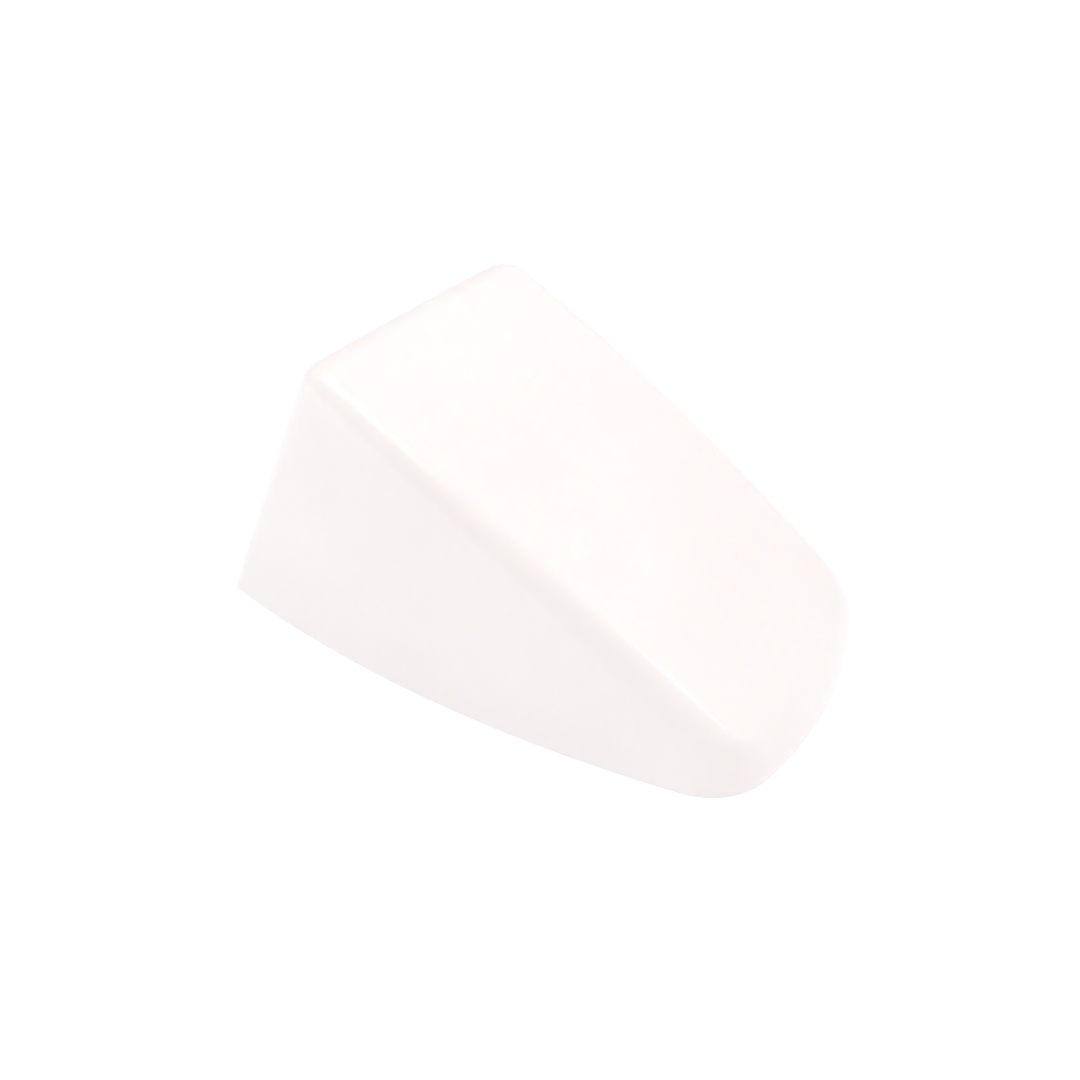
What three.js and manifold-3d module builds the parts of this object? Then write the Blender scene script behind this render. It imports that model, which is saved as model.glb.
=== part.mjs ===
// Wedge-shaped raised pavement marker: moulded shell, screwed base plate and a screwed rear lens.
// Millimetres. While modelling, x = 0 is the rear base edge, x = length the nose, z = 0 the road.
import * as THREE from 'three';
import { mergeVertices } from 'three/addons/utils/BufferGeometryUtils.js';
import Module from 'manifold-3d';

const wasm = await Module();
wasm.setup();

// ---------------------------------------------------------------- driving dimensions
const length = 100;
const width = 64.2;
const height = 50;
const noseHeight = 3.5;
const rearLeanDegrees = 24.4;
const sideDraftDegrees = 5.4;
const extraNoseFlare = 0.083;
const noseDraftDegrees = 0.9;
const topCrown = 2.3;
const crossCrown = 0.7;

// Plan outline at the road, and the straighter one that the upper edge follows.
const footSideRadius = 232;
const footWidestAt = 43.1;
const footNoseRadius = 67.4;
const footNoseCorner = 12.4;
const footRearCorner = 1.4;
const crestSideRadius = 413;
const crestWidestAt = 20.2;
const crestNoseRadius = 104;
const crestNoseCorner = 8.8;
const crestRearCorner = 6.4;
const sideBlend = 3.4;
const rearBlend = 4.1;
const noseBlend = 3.8;
const noseWallShare = 0.89;
const blendFullness = 0.75;
const crownSpineSetback = 23;

const wall = 3.4;
const roof = 3.8;
const skirt = 1.9;
const lensWall = 8;
const ribThickness = 2.2;
const noseSolid = 8.6;

const gap = 0.3;
const plateThickness = 4;
const padHeight = 1.3;
const gasketThickness = 1;
const gasketWidth = 1.4;
const waffleDepth = 1.3;
const wafflePitch = 8.5;
const waffleWeb = 2.2;

const screwRadius = 2;
const screwHeadRadius = 3.4;
const screwHeadHeight = 2.1;
const screwHeadRecess = 0.4;
const hexAcrossFlats = 2.5;
const insertRadius = 2.9;
const insertLength = 6;
const bossRadius = 4.8;
const bossWallOverlap = 0.6;
const padRadius = 3.9;
const noseBossSetback = 21;

const lensRecess = 0.5;
const lensThickness = 2.5;
const lensRim = 1;
const lensMargin = 4.2;
const lensSideMargin = 1.4;
const lensEarWidth = 6;
const lensEdgeWidth = 2.4;
const lensCornerRadius = 3;
const prismPitch = 3.6;
const prismDepth = 0.9;
const lensGasketThickness = 0.9;
const lensScrewRadius = 1.25;
const lensScrewHeadRadius = 2.3;
const lensScrewLength = 8.5;
const lensBossRadius = 3.1;
const lensBossLength = 3.2;
const screwHoleSpacing = 1.2;

// ---------------------------------------------------------------- derived dimensions
const tanLean = Math.tan(THREE.MathUtils.degToRad(rearLeanDegrees));
const tanSide = Math.tan(THREE.MathUtils.degToRad(sideDraftDegrees));
const tanNose = Math.tan(THREE.MathUtils.degToRad(noseDraftDegrees));
const cosLean = Math.cos(THREE.MathUtils.degToRad(rearLeanDegrees));
const sinLean = Math.sin(THREE.MathUtils.degToRad(rearLeanDegrees));
const rearTopX = height * tanLean;
const ledgeHeight = plateThickness + gap + gasketThickness + gap;
const plateNoseInset = skirt + noseSolid;
const cavityNoseInset = wall + noseSolid;
const cavityRearInset = lensWall / cosLean;

const footShape = {
  sideRadius: footSideRadius,
  widestAt: footWidestAt,
  noseRadius: footNoseRadius,
  noseCorner: footNoseCorner,
  rearCorner: footRearCorner,
};
const crestShape = {
  sideRadius: crestSideRadius,
  widestAt: crestWidestAt,
  noseRadius: crestNoseRadius,
  noseCorner: crestNoseCorner,
  rearCorner: crestRearCorner,
};

// ---------------------------------------------------------------- body surfaces
function topHeight(x, y) {
  const along = (x - rearTopX) / (length - rearTopX);
  const across = y / (width / 2);
  const slope = height + (noseHeight - height) * along;
  return slope + 4 * topCrown * along * (1 - along) - crossCrown * across * across;
}

function wallPoint(point, z) {
  const toNose = point.toNose;
  const inward = tanSide + extraNoseFlare * toNose;
  const x = point.x + z * (tanLean * (1 - toNose) - tanNose * toNose);
  const y = point.y * (1 - (2 * z * inward) / width);
  return new THREE.Vector3(x, y, z);
}

// Half plan outline as tangent arcs, nose centre to rear centre, then mirrored: counter-clockwise.
function planOutline(shape, { inset, rearInset, noseInset, corner, steps }) {
  const sideCentre = { x: shape.widestAt, y: width / 2 - shape.sideRadius };
  const side = shape.sideRadius - inset;
  const end = shape.noseRadius - noseInset;
  const bend = Math.max(shape.noseCorner - inset, 2);
  const endX = length - shape.noseRadius;
  const reachSide = side - bend;
  const reachEnd = end - bend;
  const apartX = endX - sideCentre.x;
  const apartY = -sideCentre.y;
  const apart = Math.hypot(apartX, apartY);
  const onLine = (reachSide ** 2 - reachEnd ** 2 + apart ** 2) / (2 * apart);
  const offLine = Math.sqrt(reachSide ** 2 - onLine ** 2);
  const bendX = sideCentre.x + (apartX * onLine + apartY * offLine) / apart;
  const bendY = sideCentre.y + (apartY * onLine - apartX * offLine) / apart;
  const rearCorner = corner ?? shape.rearCorner;
  const backX = rearInset + rearCorner;
  const backY = sideCentre.y + Math.sqrt((side - rearCorner) ** 2 - (backX - sideCentre.x) ** 2);
  const endAngle = Math.atan2(bendY, bendX - endX);
  const sideAngle = Math.atan2(bendY - sideCentre.y, bendX - sideCentre.x);
  const backAngle = Math.atan2(backY - sideCentre.y, backX - sideCentre.x);
  const half = [];
  const arc = (cx, cy, radius, from, to, count) => {
    for (let i = 0; i < count; i += 1) {
      const angle = from + ((to - from) * i) / count;
      const normal = { x: Math.cos(angle), y: Math.sin(angle) };
      half.push({ x: cx + radius * normal.x, y: cy + radius * normal.y, normal });
    }
  };
  arc(endX, 0, end, 0, endAngle, steps.end);
  arc(bendX, bendY, bend, endAngle, sideAngle, steps.bend);
  arc(sideCentre.x, sideCentre.y, side, sideAngle, backAngle, steps.side);
  arc(backX, backY, rearCorner, backAngle, Math.PI, steps.corner);
  for (let i = 0; i <= steps.back; i += 1) {
    const y = backY * (1 - i / steps.back);
    half.push({ x: rearInset, y, normal: { x: -1, y: 0 } });
  }
  const mirrored = [];
  for (let i = half.length - 2; i > 0; i -= 1) {
    const normal = { x: half[i].normal.x, y: -half[i].normal.y };
    mirrored.push({ x: half[i].x, y: -half[i].y, normal });
  }
  const ring = half.concat(mirrored);
  const span = length - noseInset - rearInset;
  ring.forEach((point) => {
    point.toNose = (point.x - rearInset) / span;
  });
  return ring;
}

function smooth(value) {
  const t = Math.min(Math.max(value, 0), 1);
  return t * t * (3 - 2 * t);
}

// For each outline point, the wall's foot on the road and its upper edge on the top surface.
function wallColumns({ drop = 0, ...outline }) {
  const foot = planOutline(footShape, outline);
  const crest = planOutline(crestShape, outline);
  return crest.map((point, index) => {
    let edge = wallPoint(point, topHeight(point.x, point.y) - drop);
    for (let pass = 0; pass < 8; pass += 1) {
      edge = wallPoint(point, topHeight(edge.x, edge.y) - drop);
    }
    return { base: wallPoint(foot[index], 0), edge, normal: point.normal };
  });
}

function wallRing(columns, z) {
  return columns.map(({ base, edge }) => base.clone().lerp(edge, z / edge.z));
}

const bodySteps = { end: 6, bend: 8, side: 16, corner: 5, back: 3 };
const innerSteps = { end: 4, bend: 4, side: 12, corner: 2, back: 1 };

function halfWidthAt(x, z, inset) {
  const outline = { inset, rearInset: inset, noseInset: inset, steps: bodySteps };
  const ring = wallRing(wallColumns(outline), z);
  const index = ring.findIndex((point) => point.x < x);
  const ahead = ring[index - 1];
  const behind = ring[index];
  return THREE.MathUtils.mapLinear(x, behind.x, ahead.x, behind.y, ahead.y);
}

// Rings of the wedge from the base line, up the walls, round the blend and over the crowned top.
function wedgeRings({ drop, blendScale, blendSteps, ...outline }) {
  const surface = (x, y) => topHeight(x, y) - drop;
  const spineStart = rearTopX + crownSpineSetback;
  const spineEnd = length - crownSpineSetback;
  const columns = wallColumns({ drop, ...outline }).map(({ base, edge, normal }) => {
    const nose = smooth(normal.x);
    const rear = smooth(-normal.x);
    const plain = 1 - nose - rear;
    const rise = base.distanceTo(edge);
    const onTop = blendScale * (sideBlend * plain + noseBlend * nose + rearBlend * rear);
    const noseDown = noseWallShare * rise;
    const fullDown = sideBlend * plain * blendScale + noseDown * nose;
    const onWall = Math.min(fullDown + rearBlend * rear * blendScale, noseDown);
    const low = edge.clone().lerp(base, onWall / rise);
    const highX = edge.x - normal.x * onTop;
    const highY = edge.y - normal.y * onTop;
    const high = new THREE.Vector3(highX, highY, surface(highX, highY));
    const column = [base, low];
    for (let i = 1; i < blendSteps; i += 1) {
      const t = i / blendSteps;
      const a = (1 - t) ** 2;
      const b = 2 * blendFullness * t * (1 - t);
      const c = t ** 2;
      const blend = new THREE.Vector3();
      blend.addScaledVector(low, a / (a + b + c));
      blend.addScaledVector(edge, b / (a + b + c));
      blend.addScaledVector(high, c / (a + b + c));
      column.push(blend);
    }
    column.push(high);
    const spineX = THREE.MathUtils.clamp(high.x, spineStart, spineEnd);
    for (const share of [0.35, 0.7, 1]) {
      const x = THREE.MathUtils.lerp(high.x, spineX, share);
      const y = THREE.MathUtils.lerp(high.y, 0, share);
      column.push(new THREE.Vector3(x, y, surface(x, y)));
    }
    return column;
  });
  return columns[0].map((_, level) => columns.map((column) => column[level]));
}

// ---------------------------------------------------------------- solids
function solidFromTriangles(positions) {
  const geometry = new THREE.BufferGeometry();
  geometry.setAttribute('position', new THREE.Float32BufferAttribute(positions, 3));
  return solidFrom(geometry);
}

function solidFrom(source) {
  const bare = new THREE.BufferGeometry();
  bare.setAttribute('position', source.getAttribute('position'));
  bare.setIndex(source.getIndex());
  const merged = mergeVertices(bare, 1e-4);
  const vertices = merged.getAttribute('position');
  const index = merged.getIndex();
  const corner = [new THREE.Vector3(), new THREE.Vector3(), new THREE.Vector3()];
  const kept = [];
  let volume = 0;
  for (let i = 0; i < index.count; i += 3) {
    const ids = [index.getX(i), index.getX(i + 1), index.getX(i + 2)];
    if (ids[0] !== ids[1] && ids[1] !== ids[2] && ids[2] !== ids[0]) {
      corner.forEach((vector, k) => vector.fromBufferAttribute(vertices, ids[k]));
      volume += corner[0].dot(corner[1].cross(corner[2]));
      kept.push(ids);
    }
  }
  const ordered = volume < 0 ? kept.map((ids) => [ids[0], ids[2], ids[1]]) : kept;
  const mesh = new wasm.Mesh({
    numProp: 3,
    vertProperties: new Float32Array(vertices.array),
    triVerts: new Uint32Array(ordered.flat()),
  });
  return new wasm.Manifold(mesh);
}

function loft(rings) {
  const positions = [];
  const triangle = (a, b, c) => positions.push(a.x, a.y, a.z, b.x, b.y, b.z, c.x, c.y, c.z);
  const count = rings[0].length;
  for (let level = 0; level + 1 < rings.length; level += 1) {
    const low = rings[level];
    const high = rings[level + 1];
    for (let i = 0; i < count; i += 1) {
      const next = (i + 1) % count;
      triangle(low[i], low[next], high[next]);
      triangle(low[i], high[next], high[i]);
    }
  }
  const cap = (ring, upward) => {
    const centre = new THREE.Vector3();
    ring.forEach((point) => centre.addScaledVector(point, 1 / count));
    for (let i = 0; i < count; i += 1) {
      const next = (i + 1) % count;
      if (upward) {
        triangle(centre, ring[i], ring[next]);
      } else {
        triangle(centre, ring[next], ring[i]);
      }
    }
  };
  cap(rings[0], false);
  const last = rings[rings.length - 1];
  const spread = Math.max(...last.map((point) => Math.abs(point.y)));
  if (spread > 1e-6) {
    cap(last, true);
  }
  return solidFromTriangles(positions);
}

function slab({ from, to, ...outline }) {
  const columns = wallColumns(outline);
  return loft([from, to].map((z) => wallRing(columns, z)));
}

function turned(profile, segments) {
  const points = profile.map(([radius, z]) => new THREE.Vector2(radius, z));
  const geometry = new THREE.LatheGeometry(points, segments);
  geometry.rotateX(Math.PI / 2);
  return solidFrom(geometry);
}

function cylinder(radius, from, to, segments = 24) {
  return turned([[0, from], [radius, from], [radius, to], [0, to]], segments);
}

function block(x0, x1, y0, y1, z0, z1) {
  const geometry = new THREE.BoxGeometry(x1 - x0, y1 - y0, z1 - z0);
  geometry.translate((x0 + x1) / 2, (y0 + y1) / 2, (z0 + z1) / 2);
  return solidFrom(geometry);
}

function roundedPlate(halfX, halfY, radius, from, to) {
  const shape = new THREE.Shape();
  const straightX = halfX - radius;
  const straightY = halfY - radius;
  shape.absarc(straightX, straightY, radius, 0, Math.PI / 2);
  shape.absarc(-straightX, straightY, radius, Math.PI / 2, Math.PI);
  shape.absarc(-straightX, -straightY, radius, Math.PI, Math.PI * 1.5);
  shape.absarc(straightX, -straightY, radius, Math.PI * 1.5, Math.PI * 2);
  const options = { depth: to - from, bevelEnabled: false, curveSegments: 5 };
  const geometry = new THREE.ExtrudeGeometry(shape, options);
  geometry.translate(0, 0, from);
  return solidFrom(geometry);
}

function hexPrism(acrossFlats, from, to) {
  return cylinder(acrossFlats / Math.sqrt(3), from, to, 6);
}

// ---------------------------------------------------------------- rear lens frame
// Local axes: x across the rear wall, y up the leaning wall, z straight out of it.
const ledgeAlongWall = ledgeHeight / cosLean;
const wallTop = height / cosLean;
const lensBottom = ledgeAlongWall + lensMargin;
const lensTop = wallTop - rearBlend - lensMargin;
const lensHalfHeight = (lensTop - lensBottom) / 2;
const lensCentre = (lensTop + lensBottom) / 2;
const widthStation = lensTop * sinLean + crestRearCorner;
const rearWidthAtLensTop = halfWidthAt(widthStation, lensTop * cosLean, 0);
const pocketHalfWidth = rearWidthAtLensTop - wall - lensSideMargin;
const lensHalfWidth = pocketHalfWidth - gap;
const gasketBack = lensRecess + lensThickness + lensRim + gap + lensGasketThickness;
const pocketDepth = gasketBack + gap;
const lensScrewU = lensHalfWidth - lensEarWidth / 2;
const lensScrewV = lensHalfHeight - lensEarWidth;

const rearFrame = new THREE.Matrix4().makeBasis(
  new THREE.Vector3(0, -1, 0),
  new THREE.Vector3(sinLean, 0, cosLean),
  new THREE.Vector3(-cosLean, 0, sinLean),
);
rearFrame.setPosition(lensCentre * sinLean, 0, lensCentre * cosLean);

const lensScrewSpots = [];
for (const side of [1, -1]) {
  for (const level of [1, -1]) {
    lensScrewSpots.push([side * lensScrewU, level * lensScrewV]);
  }
}

function onRearWall(solid) {
  return solid.transform(rearFrame.elements);
}

// ---------------------------------------------------------------- base fixing positions
const pilotRadius = lensScrewRadius + gap;
const pilotDepth = lensRecess + lensScrewLength + gap;
const lowPilotFoot = (lensCentre - lensScrewV) * sinLean + pilotDepth * cosLean;
const pilotReach = lowPilotFoot + pilotRadius * sinLean;
const rearBossX = pilotReach + screwHoleSpacing + gap + insertRadius;
const noseBossX = length - noseBossSetback;
const middleBossX = (rearBossX + noseBossX) / 2;
const bossSpots = [];
for (const x of [rearBossX, middleBossX, noseBossX]) {
  const reach = halfWidthAt(x, ledgeHeight, wall) + bossWallOverlap - bossRadius;
  bossSpots.push([x, reach], [x, -reach]);
}

// ---------------------------------------------------------------- body shell
const outer = loft(wedgeRings({
  inset: 0,
  rearInset: 0,
  noseInset: 0,
  drop: 0,
  blendScale: 1,
  blendSteps: 6,
  steps: bodySteps,
}));

let cavity = loft(wedgeRings({
  inset: wall,
  rearInset: cavityRearInset,
  noseInset: cavityNoseInset,
  drop: roof,
  corner: 2,
  blendScale: 0.4,
  blendSteps: 2,
  steps: innerSteps,
}));
cavity = cavity.subtract(block(0, length, -ribThickness / 2, ribThickness / 2, 0, height));
for (const x of [middleBossX, noseBossX]) {
  const half = ribThickness / 2;
  cavity = cavity.subtract(block(x - half, x + half, -width / 2, width / 2, 0, height));
}
for (const [x, y] of bossSpots) {
  cavity = cavity.subtract(cylinder(bossRadius, 0, height).translate([x, y, 0]));
}
const lensBoss = cylinder(lensBossRadius, -lensWall - lensBossLength, 0);
for (const [u, v] of lensScrewSpots) {
  cavity = cavity.subtract(onRearWall(lensBoss.translate([u, v, 0])));
}

const baseRecess = slab({
  inset: skirt,
  rearInset: skirt,
  noseInset: plateNoseInset,
  from: -1,
  to: ledgeHeight,
  steps: innerSteps,
});
const insertHoleTop = ledgeHeight + gap + insertLength + gap;
const insertHole = cylinder(insertRadius + gap, 0, insertHoleTop);
const lensPocket = roundedPlate(
  pocketHalfWidth,
  lensHalfHeight + gap,
  lensCornerRadius + gap,
  -pocketDepth,
  1,
);
const lensScrewTip = -lensRecess - lensScrewLength;
const lensPilot = cylinder(pilotRadius, -pilotDepth, 0, 16);

let shell = outer.subtract(cavity).subtract(baseRecess);
for (const [x, y] of bossSpots) {
  shell = shell.subtract(insertHole.translate([x, y, 0]));
}
shell = shell.subtract(onRearWall(lensPocket));
for (const [u, v] of lensScrewSpots) {
  shell = shell.subtract(onRearWall(lensPilot.translate([u, v, 0])));
}

// ---------------------------------------------------------------- base plate and its seal
const plateInset = skirt + gap;
let plate = slab({
  inset: plateInset,
  rearInset: plateInset,
  noseInset: plateNoseInset + gap,
  from: 0,
  to: plateThickness,
  steps: innerSteps,
});
const padTop = plateThickness + padHeight;
const pad = cylinder(padRadius, waffleDepth, padTop);
const headPocket = cylinder(screwHeadRadius + gap, -1, screwHeadRecess + screwHeadHeight + gap);
const shankHole = cylinder(screwRadius + gap, -1, padTop + 1);
const screwClear = screwHeadRadius + gap + waffleWeb / 2;
const insidePlate = planOutline(footShape, {
  inset: plateInset + waffleWeb,
  rearInset: plateInset + waffleWeb,
  noseInset: plateNoseInset + gap + waffleWeb,
  steps: innerSteps,
});

function isInside(outline, x, y) {
  let crossings = 0;
  outline.forEach((here, index) => {
    const next = outline[(index + 1) % outline.length];
    const spans = here.y > y !== next.y > y;
    const meetX = here.x + ((y - here.y) / (next.y - here.y)) * (next.x - here.x);
    if (spans && x < meetX) {
      crossings += 1;
    }
  });
  return crossings % 2 === 1;
}

const pocketHalf = (wafflePitch - waffleWeb) / 2;
const plateLength = length - plateNoseInset - plateInset;
const rows = Math.floor((plateLength - waffleWeb) / wafflePitch);
const files = Math.floor(width / wafflePitch / 2) + 1;
const waffleStart = plateInset + (plateLength - (rows - 1) * wafflePitch) / 2;
for (let row = 0; row < rows; row += 1) {
  const x = waffleStart + row * wafflePitch;
  for (let file = -files; file < files; file += 1) {
    const y = (file + 0.5) * wafflePitch;
    const ends = [x - pocketHalf, x + pocketHalf, y - pocketHalf, y + pocketHalf];
    const onPlate = [ends[0], ends[1]].every((cx) => (
      isInside(insidePlate, cx, ends[2]) && isInside(insidePlate, cx, ends[3])
    ));
    const nearScrew = bossSpots.some(([sx, sy]) => Math.hypot(
      Math.max(Math.abs(x - sx) - pocketHalf, 0),
      Math.max(Math.abs(y - sy) - pocketHalf, 0),
    ) < screwClear);
    if (onPlate && !nearScrew) {
      plate = plate.subtract(block(...ends, -1, waffleDepth));
    }
  }
}
for (const [x, y] of bossSpots) {
  plate = plate.add(pad.translate([x, y, 0]));
}
for (const [x, y] of bossSpots) {
  plate = plate.subtract(headPocket.translate([x, y, 0]));
  plate = plate.subtract(shankHole.translate([x, y, 0]));
}

const sealFrom = plateThickness + gap;
const seal = (inset, from, to) => slab({
  inset,
  rearInset: inset,
  noseInset: inset + noseSolid,
  from,
  to,
  steps: innerSteps,
});
let baseGasket = seal(plateInset, sealFrom, sealFrom + gasketThickness);
baseGasket = baseGasket.subtract(seal(plateInset + gasketWidth, sealFrom - 1, sealFrom + 3));
for (const [x, y] of bossSpots) {
  const clear = cylinder(padRadius + gap, sealFrom - 1, sealFrom + 3);
  baseGasket = baseGasket.subtract(clear.translate([x, y, 0]));
}

// ---------------------------------------------------------------- screws and inserts
const headBottom = screwHeadRecess;
const headTop = screwHeadRecess + screwHeadHeight;
const screwTip = ledgeHeight + gap + insertLength;
let baseScrew = turned([
  [0, headBottom],
  [screwHeadRadius - 0.6, headBottom],
  [screwHeadRadius, headBottom + 0.6],
  [screwHeadRadius, headTop],
  [screwRadius, headTop],
  [screwRadius, screwTip - 0.8],
  [screwRadius - 0.8, screwTip],
  [0, screwTip],
], 24);
baseScrew = baseScrew.subtract(hexPrism(hexAcrossFlats, headBottom - 1, headTop - 0.7));

const insertFrom = ledgeHeight + gap;
const insertTo = insertFrom + insertLength;
const bore = screwRadius + gap;
const insert = turned([
  [bore, insertFrom],
  [insertRadius, insertFrom],
  [insertRadius, insertFrom + 2.2],
  [insertRadius - 0.3, insertFrom + 2.5],
  [insertRadius - 0.3, insertTo - 2.5],
  [insertRadius, insertTo - 2.2],
  [insertRadius, insertTo - 0.5],
  [insertRadius - 0.4, insertTo],
  [bore, insertTo],
  [bore, insertFrom],
], 24);

const lensFace = -lensRecess;
const lensHeadDepth = lensScrewHeadRadius - lensScrewRadius;
let lensScrew = turned([
  [0, lensFace - gap],
  [lensScrewHeadRadius, lensFace - gap],
  [lensScrewRadius, lensFace - gap - lensHeadDepth],
  [lensScrewRadius, lensScrewTip + 1],
  [0.3, lensScrewTip],
  [0, lensScrewTip],
], 16);
const crossHalf = 0.3;
const crossReach = lensScrewHeadRadius * 0.6;
const crossDepth = 0.9;
for (const [across, along] of [[crossReach, crossHalf], [crossHalf, crossReach]]) {
  const slot = block(-across, across, -along, along, lensFace - gap - crossDepth, 1);
  lensScrew = lensScrew.subtract(slot);
}

// ---------------------------------------------------------------- lens, seal and reflector backing
const lensBack = lensFace - lensThickness - lensRim;
const opticHalfU = lensHalfWidth - lensEarWidth;
const opticHalfV = lensHalfHeight - lensEdgeWidth;
const prismsU = Math.round((2 * opticHalfU) / prismPitch);
const prismsV = Math.round((2 * opticHalfV) / prismPitch);
const prismTop = lensFace - lensThickness - lensRim + prismDepth;

function prismRecess() {
  const positions = [];
  const triangle = (...corners) => corners.forEach((corner) => positions.push(...corner));
  const stepU = (2 * opticHalfU) / prismsU;
  const stepV = (2 * opticHalfV) / prismsV;
  const deep = prismTop;
  const open = lensBack - 1;
  for (let i = 0; i < prismsU; i += 1) {
    for (let j = 0; j < prismsV; j += 1) {
      const u0 = -opticHalfU + i * stepU;
      const v0 = -opticHalfV + j * stepV;
      const square = [[u0, v0], [u0 + stepU, v0], [u0 + stepU, v0 + stepV], [u0, v0 + stepV]];
      const tip = [u0 + stepU / 2, v0 + stepV / 2, deep - prismDepth];
      const flat = [u0 + stepU / 2, v0 + stepV / 2, open];
      for (let k = 0; k < 4; k += 1) {
        const here = square[k];
        const next = square[(k + 1) % 4];
        triangle([...here, deep], [...next, deep], tip);
        triangle([...next, open], [...here, open], flat);
        const onEdge = [i === 0, j === 0, i === prismsU - 1, j === prismsV - 1];
        const edgeOfSide = [onEdge[1], onEdge[2], onEdge[3], onEdge[0]];
        if (edgeOfSide[k]) {
          triangle([...here, open], [...next, open], [...next, deep]);
          triangle([...here, open], [...next, deep], [...here, deep]);
        }
      }
    }
  }
  return solidFromTriangles(positions);
}

let lens = roundedPlate(lensHalfWidth, lensHalfHeight, lensCornerRadius, lensBack, lensFace);
lens = lens.subtract(prismRecess());
const sunkRadius = lensScrewHeadRadius + gap;
const countersink = turned([
  [0, lensFace + 1],
  [sunkRadius, lensFace + 1],
  [sunkRadius, lensFace - gap],
  [lensScrewRadius + gap, lensFace - gap - lensHeadDepth],
  [lensScrewRadius + gap, lensBack - 1],
  [0, lensBack - 1],
], 16);
for (const [u, v] of lensScrewSpots) {
  lens = lens.subtract(countersink.translate([u, v, 0]));
}

const lensSealFront = lensBack - gap;
const lensSealBack = lensSealFront - lensGasketThickness;
const lensSealPlate = (shrink, radius, from, to) => roundedPlate(
  lensHalfWidth - shrink,
  lensHalfHeight - shrink,
  radius,
  from,
  to,
);
let lensGasket = lensSealPlate(gap, lensCornerRadius - gap, lensSealBack, lensSealFront);
const sealWindowU = opticHalfU + gap;
const sealWindowV = opticHalfV - gap;
const windowHole = roundedPlate(sealWindowU, sealWindowV, 1, lensSealBack - 1, 1);
lensGasket = lensGasket.subtract(windowHole);
const sealHole = cylinder(lensScrewRadius + gap, lensSealBack - 1, 1, 16);
for (const [u, v] of lensScrewSpots) {
  lensGasket = lensGasket.subtract(sealHole.translate([u, v, 0]));
}

const backingU = sealWindowU - gap;
const backingV = sealWindowV - gap;
const reflectorBacking = roundedPlate(backingU, backingV, 0.8, lensSealBack, lensSealFront);

// ---------------------------------------------------------------- assembly
const part = new THREE.Group();
part.name = 'raised_pavement_marker';

const finishes = {
  shell: { color: 0xf4f2ee, roughness: 0.32, metalness: 0 },
  plate: { color: 0x8d9092, roughness: 0.7, metalness: 0 },
  seal: { color: 0x232323, roughness: 0.9, metalness: 0 },
  steel: { color: 0xc2c4c6, roughness: 0.3, metalness: 1 },
  brass: { color: 0xb8913f, roughness: 0.35, metalness: 1 },
  lens: { color: 0xf2f4f5, roughness: 0.08, metalness: 0 },
  backing: { color: 0xd9dcde, roughness: 0.25, metalness: 0.8 },
};

function addPart(name, solid, finish) {
  const mesh = solid.getMesh();
  const geometry = new THREE.BufferGeometry();
  const stride = mesh.numProp;
  const positions = new Float32Array((mesh.vertProperties.length / stride) * 3);
  for (let i = 0; i < positions.length / 3; i += 1) {
    positions[3 * i] = mesh.vertProperties[stride * i] - length / 2;
    positions[3 * i + 1] = mesh.vertProperties[stride * i + 1];
    positions[3 * i + 2] = mesh.vertProperties[stride * i + 2];
  }
  geometry.setAttribute('position', new THREE.BufferAttribute(positions, 3));
  geometry.setIndex(new THREE.BufferAttribute(new Uint32Array(mesh.triVerts), 1));
  geometry.computeVertexNormals();
  const material = new THREE.MeshStandardMaterial(finishes[finish]);
  const node = new THREE.Mesh(geometry, material);
  node.name = name;
  part.add(node);
}

addPart('body_shell', shell, 'shell');
addPart('base_plate', plate, 'plate');
addPart('base_gasket', baseGasket, 'seal');
bossSpots.forEach(([x, y], index) => {
  addPart(`base_screw_${index + 1}`, baseScrew.translate([x, y, 0]), 'steel');
  addPart(`boss_insert_${index + 1}`, insert.translate([x, y, 0]), 'brass');
});
addPart('reflector_lens', onRearWall(lens), 'lens');
addPart('lens_gasket', onRearWall(lensGasket), 'seal');
addPart('reflector_backing', onRearWall(reflectorBacking), 'backing');
lensScrewSpots.forEach(([u, v], index) => {
  addPart(`lens_screw_${index + 1}`, onRearWall(lensScrew.translate([u, v, 0])), 'steel');
});

export default part;
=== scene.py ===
import math
import bmesh
import bpy
from mathutils import Matrix, Quaternion, Vector


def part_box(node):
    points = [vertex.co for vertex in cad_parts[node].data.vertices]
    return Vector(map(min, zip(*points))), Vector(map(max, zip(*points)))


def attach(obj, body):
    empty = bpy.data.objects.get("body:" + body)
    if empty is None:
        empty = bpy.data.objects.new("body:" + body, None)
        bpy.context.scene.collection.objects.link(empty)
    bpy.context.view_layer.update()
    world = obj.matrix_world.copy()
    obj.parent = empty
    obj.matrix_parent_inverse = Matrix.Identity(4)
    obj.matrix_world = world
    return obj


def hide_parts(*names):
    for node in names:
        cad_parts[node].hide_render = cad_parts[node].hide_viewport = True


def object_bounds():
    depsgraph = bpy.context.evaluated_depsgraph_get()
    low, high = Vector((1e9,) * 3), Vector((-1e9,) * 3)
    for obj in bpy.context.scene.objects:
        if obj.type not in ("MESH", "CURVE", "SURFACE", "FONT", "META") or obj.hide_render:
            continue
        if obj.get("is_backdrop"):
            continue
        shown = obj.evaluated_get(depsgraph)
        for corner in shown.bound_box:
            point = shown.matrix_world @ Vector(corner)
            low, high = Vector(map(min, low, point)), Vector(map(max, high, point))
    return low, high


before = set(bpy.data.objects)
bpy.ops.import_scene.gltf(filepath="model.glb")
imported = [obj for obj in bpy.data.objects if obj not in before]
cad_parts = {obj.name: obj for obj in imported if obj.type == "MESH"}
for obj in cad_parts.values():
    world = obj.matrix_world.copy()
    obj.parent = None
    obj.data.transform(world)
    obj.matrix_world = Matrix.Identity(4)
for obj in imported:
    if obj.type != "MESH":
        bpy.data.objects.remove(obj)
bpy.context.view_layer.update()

MM = 0.001
ORIGIN_SHIFT = -50.0  # the frame's origin is at mid length

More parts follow.
